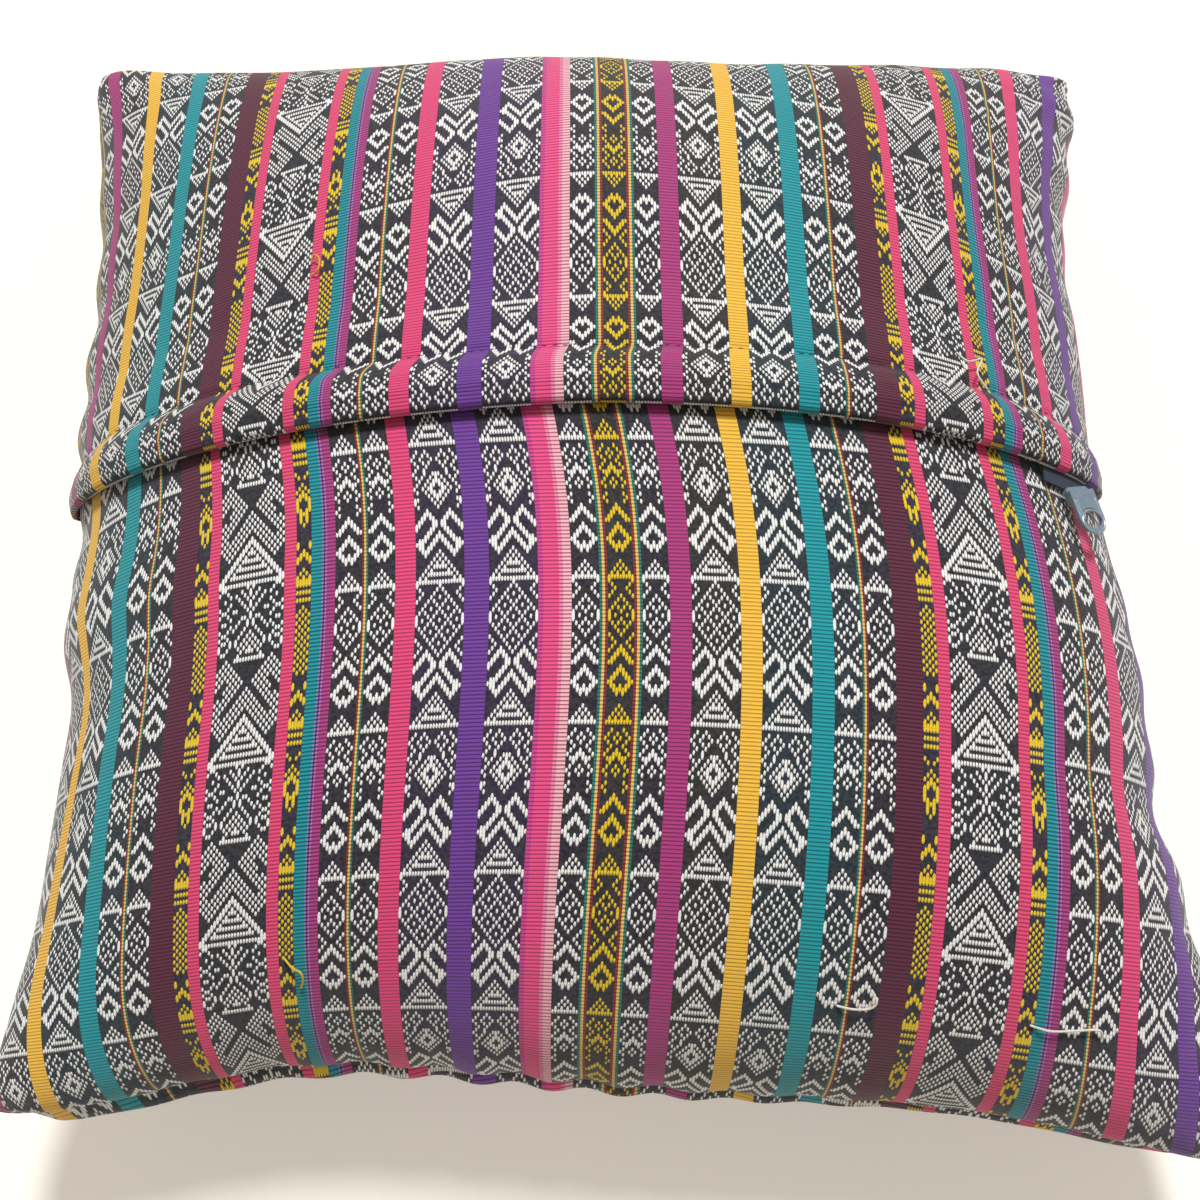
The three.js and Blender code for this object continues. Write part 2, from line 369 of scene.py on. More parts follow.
BLUE_N = dyed(N, BLUE_GROUND)
BLUE_W = dyed(W, BLUE_GROUND)
PLUM_W = dyed(W, PLUM_GROUND)
BROWN_W = dyed(W, BROWN_GROUND)
RIGHT_OF_MIDDLE = [
    *SIDE_PIN[::-1], N, *MAGENTA, BROWN_W, *GOLD, BLUE_W, *TEAL, BLUE_N, *PIN, N, *MAROON,
    S, *ROSE, T, *ROSE, S,
    *TEAL_PLUM, N, *PIN, N, *CORAL, PLUM_W, *VIOLET, PLUM_W, *HOT, N,
    *SIDE_PIN, MIDDLE, *SIDE_PIN[::-1], N,
]
LEFT_OF_MIDDLE = [
    *SIDE_PIN[::-1], N, *HOT[::-1], PLUM_W, *VIOLET, PLUM_W, *CORAL, N, *PIN, N, *TEAL_PLUM[::-1],
    S, *ROSE, T, *ROSE, S,
    *MAROON, N, *PIN, BLUE_N, *TEAL, BLUE_W, *GOLD, BROWN_W, *MAGENTA, N,
    *SIDE_PIN, MIDDLE, *SIDE_PIN[::-1], N, *MAGENTA,
]

FIGURE_COLUMNS = {"n": 9, "w": 17, "s": 5, "t": 23, "r": 0}
RIB_COLUMN = 0.5  # the column width of a stripe with no figures


def bands():
    """Every stripe from left to right, as (left, right, kind, ground, floats, middle, column width)."""
    kind, width, ground, thread = MIDDLE
    found = [(-width / 2, width / 2, kind, ground, thread)]
    for side, stripes in ((1, RIGHT_OF_MIDDLE), (-1, LEFT_OF_MIDDLE)):
        edge = MIDDLE[1] / 2
        for kind, width, ground, thread in stripes:
            ends = sorted((side * edge, side * (edge + width)))
            found.append((*ends, kind, ground, thread))
            edge += width
    rows = []
    for low, high, kind, ground, thread in sorted(found, key=lambda band: band[0]):
        low = low * UNIT + STRIPE_MIDDLE
        high = high * UNIT + STRIPE_MIDDLE
        columns = FIGURE_COLUMNS[kind]
        pitch = (high - low) / columns if columns else RIB_COLUMN
        rows.append((low, high, kind, ground, thread, (low + high) / 2, pitch))
    return rows


BANDS = bands()


def cloth_columns(overhang):
    """The columns of a cloth mesh: their places across the cloth and the band of each gap between two."""
    places = [BANDS[0][0]]
    owners = []
    for index, (low, high, *_) in enumerate(BANDS):
        pieces = max(1, math.ceil((high - low) / COLUMN_STEP))
        for piece in range(1, pieces + 1):
            places.append(low + (high - low) * piece / pieces)
            owners.append(index)
    places = np.array(places)
    reach = HALF_CUT + overhang
    keep = [i for i in range(len(owners)) if places[i + 1] > -reach and places[i] < reach]
    return places[keep[0] : keep[-1] + 2], np.array([owners[i] for i in keep])


# ---- where the cloth lies on the cushion

FOLD_MIDDLE = 0.07
FOLD_BOW = 0.085
FOLD_BOW_POWER = 1.5
FOLD_TILT = 0.006
FOLD_END_RISE = (0.035, 0.085)  # at the left end and at the right end
FOLD_END_POWER = 10
LAP = 26.0
OVERHANG = 30.0  # how far past the side seams the cloth's columns are laid out
HEM_WIDTH = 22.0
HEM_SHIFT = (-1.6, 4.2)  # how far right the hem's stripes lie at the middle, how much more at the right seam
HEM_SHIFT_WIDTH = 9.0  # the width over which that shift ends
# Each term is (size, power of u, power of v). Drifts are shares of the cut half width.
LOWER_DRIFT = [
    (-0.013, 0, 0), (-0.125, 0, 1), (-0.4, 0, 2), (-0.23, 0, 3),
    (0.045, 1, 1), (0.025, 1, 2), (-0.02, 2, 1), (0.04, 3, 0),
]
FLAP_DRIFT = [
    (0.003, 0, 0), (0.055, 0, 2), (-0.045, 0, 3),
    (0.01, 1, 0), (0.08, 1, 2), (-0.125, 3, 0),
]
LOWER_WOVEN_ROWS = [
    (59.5, 0, 0), (-163.5, 0, 1), (27.0, 0, 2), (10.0, 0, 3),
    (-9.0, 1, 1), (-14.0, 1, 2), (-13.5, 2, 0), (6.5, 3, 0),
]
LEFT_PULLS = [  # size; where it starts left of the middle and its width; its middle along v and its width
    (0.032, 0.5, 0.3, 0.05, 0.2),
    (0.036, 0.77, 0.12, -0.38, 0.18),
]
LOWER_CORNERS = (0.028, 0.5, 0.22, 0.75, 1.5)  # size; where it starts across, its width; start down, power
FLAP_CORNERS = (0.056, 0.085)  # left, right
FLAP_CORNERS_FROM = 0.6
FLAP_CORNERS_POWER = 5
FRONT_DRIFT = (0.035, 0.055)  # beyond the lower panel's at the bottom seam: at the middle, more at the right
SEAM_SWELLS = [(1.8, 0.1, 0.3), (-4.6, -0.5, 0.3)]  # woven rows at the bottom seam, middle along u, width
SEAM_SWELL_POWER = 4
FLAP_FIRST_ROW = 65.7
FRONT_WOVEN_ROWS = 356.0
HEM_ROWS_LOST = (8.0, 0.09)  # woven rows at the fold, width along v
FAR_LEFT_ROWS_LOST = (6.5, 0.62, 0.25, 0.05, 0.2)  # rows; start left, width; start over the fold, width
FLAP_ROWS_UP = (153.0, -4.9, 81.5, -69.0)  # at the middle, to the right, to both sides, higher up
FLAP_ROWS_POWER = 1.5
LAY_ROUNDS = 6


def summed(terms, u, v):
    return sum(size * u**across * v**along for size, across, along in terms)


def fold_line(u):
    rise = np.where(u < 0, *FOLD_END_RISE) * np.abs(u) ** FOLD_END_POWER
    return FOLD_MIDDLE - FOLD_BOW * np.abs(u) ** FOLD_BOW_POWER + FOLD_TILT * u + rise


def lower_drift(u, v):
    """How far right of its flat place the lower panel's cloth lies, as a share of the cut half width."""
    pulls = sum(
        size * eased(-u - start, width) * swell(v, place, height)
        for size, start, width, place, height in LEFT_PULLS
    )
    size, start, width, low, power = LOWER_CORNERS
    corners = size * eased(np.abs(u) - start, width) * np.clip((-v - low) / (1 - low), 0, 1) ** power
    return summed(LOWER_DRIFT, u, v) + pulls + corners


def flap_drift(u, v):
    on_hem = eased(HEM_WIDTH + 1 - (v - fold_line(u)) * HALF_CUT, HEM_SHIFT_WIDTH)
    hem = (HEM_SHIFT[0] + HEM_SHIFT[1] * u) / HALF_CUT * on_hem
    high = np.clip((v - FLAP_CORNERS_FROM) / (1 - FLAP_CORNERS_FROM), 0, 1)
    corners = np.where(u < 0, *FLAP_CORNERS) * high * u**FLAP_CORNERS_POWER
    return summed(FLAP_DRIFT, u, v) + hem + corners


def front_drift(u, v):
    return lower_drift(u, -1.0) + FRONT_DRIFT[0] + FRONT_DRIFT[1] * u


def lower_row(u, v):
    """The woven row that lies at a place of the lower panel."""
    near_seam = np.clip(-v, 0, 1) ** SEAM_SWELL_POWER
    moved = sum(size * swell(u, place, width) for size, place, width in SEAM_SWELLS)
    return summed(LOWER_WOVEN_ROWS, u, v) + moved * near_seam


def flap_row(u, v):
    above = v - fold_line(u)
    on_hem = HEM_ROWS_LOST[0] * swell(above, 0.0, HEM_ROWS_LOST[1])
    rows, left, width, low, height = FAR_LEFT_ROWS_LOST
    far_left = rows * eased(-u - left, width) * eased(above - low, height)
    middle, right, sides, higher = FLAP_ROWS_UP
    rows_up = middle + right * u + sides * np.abs(u) ** FLAP_ROWS_POWER + higher * u**2 * above
    return FLAP_FIRST_ROW - on_hem - far_left + above * rows_up


def front_row(u, v):
    return lower_row(u, -1.0) + FRONT_WOVEN_ROWS / 2 * (v + 1)


def lay(rises, drift):
    """The u and v of a cloth's rows and columns, and the band of each gap between two columns.

    Each row is given as the cushion's v as a function of u.
    """
    places, owners = cloth_columns(OVERHANG)
    flat = np.broadcast_to(places / HALF_CUT, (len(rises), len(places)))
    u = flat
    for _ in range(LAY_ROUNDS):
        held = np.clip(u, -1, 1)
        v = np.clip(np.stack([rise(row) for rise, row in zip(rises, held)]), -1, 1)
        u = flat + drift(held, v)
    v = np.stack([rise(row) for rise, row in zip(rises, u)])
    return u, v, owners


def bands_mesh(name, rows, owners, weld=False):
    """A closed cloth mesh from rows that run once round it. A row is (points, u, cloth x, cloth row)."""
    points, u, cloth_x, cloth_row = (np.stack(part) for part in zip(*rows))
    count, columns = u.shape
    index = np.arange(count * columns).reshape(count, columns)
    left = np.maximum((u >= -1).argmax(axis=1) - 1, 0)
    right = np.minimum(columns - (u[:, ::-1] <= 1).argmax(axis=1), columns - 1)
    for j in range(count):
        index[j, : left[j]] = index[j, left[j]]
        index[j, right[j] :] = index[j, right[j]]
    faces = []
    owner_of_face = []
    for j in range(count):
        k = (j + 1) % count
        for i in range(columns - 1):
            ring = [index[j, i], index[j, i + 1], index[k, i + 1], index[k, i]]
            ring = [p for n, p in enumerate(ring) if p != ring[n - 1]]
            if len(ring) > 2:
                faces.append(ring)
                owner_of_face.append(owners[i])
    for edge, order in ((left, 1), (right, -1)):
        for j in range(count // 2 - 1):
            k = count - 1 - j
            ring = [index[row, edge[row]] for row in (j, j + 1, k - 1, k)]
            faces.append(ring[::order])
            owner_of_face.append(owners[0 if order > 0 else -1])
    return mesh_of(name, points, cloth_x, cloth_row, faces, owner_of_face, weld)


def mesh_of(name, points, cloth_x, cloth_row, faces, owner_of_face, weld):
    """The mesh with its place in the cloth and its stripe's colours and figures written on it."""
    flat = points.reshape(-1, 3)
    count, columns = cloth_x.shape
    bake = np.stack(
        np.meshgrid((np.arange(columns) + 0.5) / columns, (np.arange(count) + 0.5) / count), -1
    ).reshape(-1, 2)
    if weld:
        _, first, same = np.unique(np.round(flat, 3), axis=0, return_index=True, return_inverse=True)
        joined = first[same.ravel()]
    else:
        joined = np.arange(len(flat))
    kept_faces = []
    kept_owner = []
    corners = []
    for ring, owner in zip(faces, owner_of_face):
        own = [joined[p] for p in ring]
        picks = [n for n, p in enumerate(own) if p != own[n - 1]]
        if len(picks) < 3 or len({own[n] for n in picks}) < 3:
            continue
        kept_faces.append([own[n] for n in picks])
        corners.extend(ring[n] for n in picks)
        kept_owner.extend([owner] * len(picks))
    used, renumbered = np.unique(np.concatenate(kept_faces), return_inverse=True)
    lengths = [len(ring) for ring in kept_faces]
    ends = np.cumsum(lengths)
    rings = [renumbered[end - length : end].tolist() for end, length in zip(ends, lengths)]
    mesh = bpy.data.meshes.new(name)
    mesh.from_pydata((flat[used] * METRES).tolist(), [], rings)
    corners = np.array(corners)
    owner = np.array(kept_owner)
    middles, pitches = np.array([[b[5], b[6]] for b in BANDS]).T
    column = (cloth_x.ravel()[corners] - middles[owner]) / pitches[owner]
    row = cloth_row.ravel()[corners]
    write(mesh.uv_layers.new(name="cloth"), "uv", np.stack([column, row], -1))
    write(mesh.uv_layers.new(name="OFBake"), "uv", bake[corners])
    of_band = {
        "ground": [b[3] for b in BANDS],
        "thread": [b[4] for b in BANDS],
        "chart": [[float(b[2] == kind) for kind in "nwst"] for b in BANDS],
    }
    for key, colours in of_band.items():
        layer = mesh.color_attributes.new(name=key, type="FLOAT_COLOR", domain="CORNER")
        write(layer, "color", np.array(colours)[owner])
    mesh.polygons.foreach_set("use_smooth", [True] * len(mesh.polygons))
    mesh.update()
    return add_object(name, mesh)


def write(layer, key, values):
    layer.data.foreach_set(key, values.astype(np.float32).ravel())


def add_object(name, data):
    piece = bpy.data.objects.new(name, data)
    bpy.context.scene.collection.objects.link(piece)
    return piece


# ---- the three cloth pieces

CLOTH_OVER = 2.0  # the back panels' outer face over the cushion
CLOTH_UNDER = 0.8
PUCKERS = [  # 0 left or right, 1 bottom or top; which of them; height; spacing; start
    (0, -1, 1.3, 37.0, 0.4),
    (0, 1, 1.3, 33.0, 2.0),
    (1, -1, 1.1, 29.0, 1.1),
    (1, 1, 0.7, 43.0, 0.0),
]
PUCKER_REACH = 9.0
PUCKER_STRAY = (1.3, 47.0)  # how far the spacing strays, and over what length
PUCKER_FADE = (0.45, 61.0)  # how much of the height comes and goes, and over what length
ROLL = 7.0  # how far the front's cloth rolls out under the bottom seam
ROLL_LESS_RIGHT = 0.25
ROLL_END_WIDTH = 0.12
ROLL_REACH = 16.0
SEAM_TAPER = (7.0, 0.12)  # how far from a seam the cloth thins, and the share of its height left there
FRONT_SUNK = (1.5, 12.0)  # how far the front's upper side lies under the back, and how far in it gets there
LOWER_ROWS = 110
FLAP_PLAIN_ROWS = 61
FRONT_ROWS = 84
NOSE_STEPS = 6
ROW_PITCH = 1.35  # the height of a woven row on the fold's nose
# The flap's outer and inner face over the cushion, as (distance from the fold, height).
HEM_OUTER = [
    (0, 6.0), (2, 8.2), (7, 9.6), (13, 9.0), (18, 7.0), (21, 4.9), (22, 4.5), (24, 5.2),
    (33, 4.4), (50, 2.0),
]
HEM_INNER = [(0, 4.2), (2, 3.2), (7, 2.8), (33, 2.6), (50, 0.9)]
HEM_END_THINNER = (0.5, 0.6)  # left, right
HEM_ENDS = (0.78, 0.2)  # where its ends start, and their width
HEM_MESH_ROWS = np.concatenate([np.arange(2.0, 26, 1.2), np.arange(26.0, 50, 2.4)])  # from the fold


def seam_distance(u, v, run):
    return run * np.minimum(1 - np.clip(np.abs(u), 0, 1), 1 - np.clip(np.abs(v), 0, 1))


def puckers(u, v, run):
    """Soft uneven ridges and troughs that run in from the seams."""
    result = 0.0
    for axis, side, size, spacing, start in PUCKERS:
        across, along = (v, u) if axis else (u, v)
        place = along * run
        wave = np.sin(2 * np.pi * place / spacing + start + PUCKER_STRAY[0] * np.sin(place / PUCKER_STRAY[1]))
        wave = wave * (1 - PUCKER_FADE[0] + PUCKER_FADE[0] * np.sin(place / PUCKER_FADE[1] + 2 * start))
        inward = (1 - side * across) * run / PUCKER_REACH
        result = result + size * wave * inward * np.exp(1 - inward)
    return result


def lower_panel(top):
    shares = np.linspace(0, 1, LOWER_ROWS)
    rises = [lambda u, s=s: -1 + s * (fold_line(u) + LAP / top.run + 1) for s in shares]
    u, v, owners = lay(rises, lower_drift)
    upper = rows_over(top, u, v, CLOTH_OVER, lower_drift, lower_row)
    under = rows_over(top, u, v, CLOTH_UNDER, lower_drift, lower_row)
    return bands_mesh("back_lower_cloth", upper + under[::-1], owners)


def rows_over(surface, u, v, height, drift, row_of):
    """Rows of a cloth face over a surface. Columns past a side seam are brought back to it."""
    held = np.clip(u, -1, 1)
    v = np.clip(v, -1, 1)
    reach, left = SEAM_TAPER
    share = left + (1 - left) * eased(seam_distance(held, v, surface.run), reach)
    height = np.broadcast_to(height, held.shape) * share + puckers(held, v, surface.run)
    points = surface.at(held, v, height)
    points[..., 2] = np.maximum(points[..., 2], 0)
    cloth_x = HALF_CUT * (held - drift(held, v))
    rows = row_of(held, v)
    return [(points[i], u[i], cloth_x[i], rows[i]) for i in range(len(u))]


def hem_fullness(u):
    """The hem's share of its full height, less at its ends."""
    return 1 - np.where(u < 0, *HEM_END_THINNER) * eased(np.abs(u) - HEM_ENDS[0], HEM_ENDS[1])


def flap_panel(top):
    """The flap, whose upper side turns round the nose of the fold into its under side."""
    first = HEM_MESH_ROWS[0] / top.run
    last = HEM_MESH_ROWS[-1] / top.run
    rises = [lambda u, d=d: fold_line(u) + d / top.run for d in HEM_MESH_ROWS]
    for share in np.linspace(0, 1, FLAP_PLAIN_ROWS + 1)[1:]:
        rises.append(lambda u, s=share: fold_line(u) + last + s * (1 - fold_line(u) - last))
    u, v, owners = lay(rises, flap_drift)
    distance = (v - fold_line(u)) * top.run
    outer = np.interp(distance, *np.array(HEM_OUTER).T)
    outer = CLOTH_OVER + (outer - CLOTH_OVER) * hem_fullness(u)
    inner = np.interp(distance, *np.array(HEM_INNER).T)
    upper = rows_over(top, u, v, outer, flap_drift, flap_row)
    under = rows_over(top, u, v, inner, flap_drift, flap_row)
    radius = (outer[:1] - inner[:1]) / 2
    nose = []
    for angle in np.linspace(math.pi / 2, -math.pi / 2, NOSE_STEPS + 2)[1:-1]:
        nose_v = fold_line(u[:1]) + first - radius * math.cos(angle) / top.run
        lift = inner[:1] + radius * (1 + math.sin(angle))
        rows_round = radius * (math.pi / 2 - angle) / ROW_PITCH

        def nose_row(at_u, _, rows_round=rows_round):
            return flap_row(at_u, fold_line(at_u) + first) - rows_round

        nose += rows_over(top, u[:1], nose_v, lift, flap_drift, nose_row)
    return bands_mesh("back_flap_cloth", under[::-1] + nose[::-1] + upper, owners)


def front_panel(top, belly):
    """The front's cloth, closed over the filling by a side that lies just under the back panels."""
    shares = np.sin(np.linspace(-0.5, 0.5, FRONT_ROWS) * math.pi)
    rises = [lambda u, s=s: np.full_like(u, s) for s in shares]
    u, v, owners = lay(rises, front_drift)
    held = np.clip(u, -1, 1)
    under_seam = np.clip((v + 1) * belly.run / ROLL_REACH, 0, 1)
    ends = eased(1 - np.abs(held), ROLL_END_WIDTH)
    roll = ROLL * (1 - ROLL_LESS_RIGHT * (1 + held)) * np.sin(np.pi * under_seam) * ends
    below = rows_over(belly, u, v, roll, front_drift, front_row)
    sunk = -FRONT_SUNK[0] * eased(seam_distance(held, v, top.run), FRONT_SUNK[1])
    above = rows_over(top, u, v, sunk, front_drift, front_row)
    return bands_mesh("front_cloth", below[::-1] + above, owners, weld=True)


# ---- stitches and loose threads

STITCH_LENGTH = 2.5
STITCH_STEP = 3.7
STITCH_RADIUS = 0.22
STITCHED_TO = 0.965  # the share of the way to each side seam that the line of stitches reaches
STITCH_SHARES = (-0.5, -0.25, 0.25, 0.5)  # points along a stitch
STITCH_HEIGHTS = (-0.35, 0.15, 0.15, -0.35)
STITCH_STRAY = (0.3, 0.25)  # at most this far along and across
THREAD_RADIUS = 0.36
THREAD_SIDES = 6
STEEP = 0.9  # a path that climbs more than this share takes its sides from the X axis
PATH_STEPS = 6
SEED = 7

# Loose ends and pulled loops: u, v and height over the cushion.
YELLOW_THREADS = [
    [
        (-0.469, -0.74, 2.6), (-0.455, -0.752, 4.4), (-0.443, -0.757, 5.2), (-0.442, -0.77, 4.6),
        (-0.45, -0.788, 2.8),
    ],
    [
        (-0.446, 0.336, 2.6), (-0.438, 0.344, 4.6), (-0.428, 0.334, 5.0), (-0.43, 0.316, 4.4),
        (-0.442, 0.314, 2.6),
    ],
]
WHITE_THREADS = [
    [
        (0.307, -0.773, 2.6), (0.329, -0.774, 3.8), (0.351, -0.77, 4.6), (0.36, -0.76, 5.0),
        (0.355, -0.748, 3.4),
    ],
    [
        (0.583, -0.786, 2.4), (0.611, -0.789, 3.8), (0.644, -0.788, 3.2), (0.684, -0.783, 3.8),
        (0.693, -0.797, 2.6),
    ],
    [
        (0.566, 0.178, 4.8), (0.576, 0.158, 7.6), (0.598, 0.163, 8.4), (0.584, 0.135, 9.6),
        (0.602, 0.113, 8.8),
    ],
]


def smooth_path(points):
    """A smooth line of more points through the given ones."""
    points = np.array(points)
    padded = np.concatenate([points[:1], points, points[-1:]])
    path = []
    for a, b, c, d in zip(padded, padded[1:], padded[2:], padded[3:]):
        square = a - 2.5 * b + 2 * c - d / 2
        cube = 1.5 * (b - c) + (d - a) / 2
        for t in np.linspace(0, 1, PATH_STEPS, endpoint=False):
            path.append(b + t * (c - a) / 2 + t**2 * square + t**3 * cube)
    return np.array(path + [points[-1]])


def tubes_mesh(name, paths, radius, sides=THREAD_SIDES):
    """One mesh of closed round tubes along the paths."""
    points = []
    faces = []
    turns = np.arange(sides) * 2 * np.pi / sides
    for path in paths:
        along = np.gradient(path, axis=0)
        along /= np.linalg.norm(along, axis=1, keepdims=True)
        helper = np.where(np.abs(along[:, 2:]) < STEEP, [[0.0, 0.0, 1.0]], [[1.0, 0.0, 0.0]])
        side = np.cross(along, helper)
        side /= np.linalg.norm(side, axis=1, keepdims=True)
        up = np.cross(side, along)
        ring = np.cos(turns)[None, :, None] * side[:, None] + np.sin(turns)[None, :, None] * up[:, None]
        start = sum(len(p) for p in points)
        points.append((path[:, None] + radius * ring).reshape(-1, 3))
        count = len(path)
        for j in range(count - 1):
            for i in range(sides):
                k = (i + 1) % sides
                a, b = start + j * sides, start + (j + 1) * sides
                faces.append([a + i, b + i, b + k, a + k])
        faces.append([start + i for i in range(sides)])
        faces.append([start + (count - 1) * sides + i for i in reversed(range(sides))])
    mesh = bpy.data.meshes.new(name)
    mesh.from_pydata((np.concatenate(points) * METRES).tolist(), [], faces)
    mesh.polygons.foreach_set("use_smooth", [True] * len(mesh.polygons))
    return add_object(name, mesh)


def hem_stitches(top):
    random = np.random.default_rng(SEED)
    stray_along, stray_across = STITCH_STRAY
    middles = np.arange(-STITCHED_TO, STITCHED_TO, STITCH_STEP / top.run)
    middles = middles + random.uniform(-stray_along, stray_along, len(middles)) / top.run
    height = np.interp(HEM_WIDTH, *np.array(HEM_OUTER).T)
    paths = []
    for middle in middles:
        u = middle + np.array(STITCH_SHARES) * STITCH_LENGTH / top.run
        v = fold_line(u) + (HEM_WIDTH + random.uniform(-stray_across, stray_across)) / top.run
        over = CLOTH_OVER + (height - CLOTH_OVER) * hem_fullness(u) + puckers(u, v, top.run)
        paths.append(top.at(u, v, over + np.array(STITCH_HEIGHTS)))
    return tubes_mesh("hem_stitches", paths, STITCH_RADIUS)


def loose_threads(name, top, threads):
    paths = []
    for thread in threads:
        u, v, height = smooth_path(thread).T
        paths.append(top.at(u, v, height))
    return tubes_mesh(name, paths, THREAD_RADIUS)


# ---- the zip pull's raised lines

# The pull's own frame, as in the part: its hole is at the middle and +X points to its tip.
PULL_PLACE = (167.9, -20.1, 109.6)
PULL_HEADING = -78
PULL_TILT = -18
PULL_HALF_WIDTH = 5.2
PULL_HOLE = 3.85
PULL_HALF_THICK = 0.7
PULL_SHANK = 10.8
RIM_RADIUS = 0.5
RIM_STEPS = 40
RIM_SIDES = 8
LINE_RADIUS = 0.22
LINE_INSETS = (-0.8, -1.7, 0.8)  # from the left edge twice and from the right edge
LINE_FROM = 1.5  # past the end of the shank
LINE_TO = -1.0
LINE_STEPS = 8


def pull_lines(middle):
    """A raised rim round the pull's hole and fine lines along its edges."""
    heading = Matrix.Rotation(math.radians(PULL_HEADING), 3, "Z")
    turn = heading @ Matrix.Rotation(math.radians(PULL_TILT), 3, "X")
    place = np.array([PULL_PLACE[0] - middle[0], PULL_PLACE[1] - middle[1], PULL_PLACE[2]])
    turns = np.linspace(0, 2 * np.pi, RIM_STEPS)
    rim = PULL_HOLE + RIM_RADIUS
    flat = [np.stack([rim * np.cos(turns), rim * np.sin(turns)], -1)]
    for inset in LINE_INSETS:
        y = math.copysign(PULL_HALF_WIDTH, inset) - inset
        along = np.linspace(LINE_FROM - PULL_SHANK, LINE_TO, LINE_STEPS)
        flat.append(np.stack([along, np.full(LINE_STEPS, y)], -1))
    paths = [np.insert(path, 2, PULL_HALF_THICK, axis=1) @ np.array(turn).T + place for path in flat]
    rim_piece = tubes_mesh("zip_pull_rim", paths[:1], RIM_RADIUS, RIM_SIDES)
    line_piece = tubes_mesh("zip_pull_lines", paths[1:], LINE_RADIUS)
    return rim_piece, line_piece


# ---- the figures' charts

# One word is one woven row of half a figure. Its digits are the columns that float, counted from the stripe's
# middle, where a is 10 and b is 11, and a dash is a row with no floats.
NARROW_START = "0 01 12 23 34 0 01 12 23 34 023 012 1 - - 0 1 02 13 01234"
NARROW_STAR = "4 3 2 3 04 1 2 13 04 24 04 13 2 1 04 3 2"
NARROW_AFTER_STAR = "03 014"
NARROW_ROUND = "- 2 03 14 03 2 03 014 123 2 03 14 03 - 3 4 3"
WIDE_START = "4 345 2356 1267 1278 238 034 0145 12567 23678 3467 0456 15 02 13 0124 35 012346 57 012345678"
WIDE_STAR = "08 17 26 037 248 15 036 157 248 0368 248 157 036 15 248 037 26"
WIDE_AFTER_STAR = "147 03458"
WIDE_ROUND = "- 36 247 158 247 36 47 0148 0257 0136 1247 2358 1247 013 0278 18 07"
SMALL_CROWN = "2 2 0 01 12 2 - 0 1 02 012 012 - 012 - 012"
SMALL_EYE = "- - 2 1 - 0 1 02 01 12 2 2 12 01 1 1 0 - - - -"
SMALL_LATTICE = "- 0 1 02 1 02 1 02 1 02 1 02 1 02 1 02 1 02 1 - -"
SMALL_SHIFT = 5  # the small figures begin this many rows after the others
TRIANGLES = (
    "01468a 12579b 02368a 013479 2458 012356 467 01234578 689 012345679a ab 0123456789ab "
    "19a 038b 0257 149 037 028b 1569a 08b 0237 149a 157 268b 039a 148b 02579a 1357b 0248b 0139a 4 "
    "0123458 79 68a 579b 468a 3579b 246a 357b 0468 157 0268a 1379b 0248a 1359b 246a 03579b"
)
TRIANGLE_SHIFT = 18  # the large triangles begin this many rows before the others
CHART_SCALE = 4096.0  # every row's number is under this
RAMP_STOPS = 32


def chart_numbers(text):
    """Each row as one number, with a bit set for each column that floats."""
    return [sum(2 ** int(digit, 16) for digit in word if digit != "-") for word in text.split()]


def two_halves(start, first, after_first, second):
    """A repeat of two figures that start alike, save for the second one's first rows."""
    begin = chart_numbers(after_first)
    same = chart_numbers(start)
    return same + chart_numbers(first) + begin + same[len(begin) :] + chart_numbers(second)


NARROW = two_halves(NARROW_START, NARROW_STAR, NARROW_AFTER_STAR, NARROW_ROUND)
WIDE = two_halves(WIDE_START, WIDE_STAR, WIDE_AFTER_STAR, WIDE_ROUND)
SMALL = chart_numbers(" ".join((SMALL_CROWN, SMALL_LATTICE, SMALL_CROWN, SMALL_EYE)))
SMALL = SMALL[-SMALL_SHIFT:] + SMALL[:-SMALL_SHIFT]
LARGE = chart_numbers(TRIANGLES)


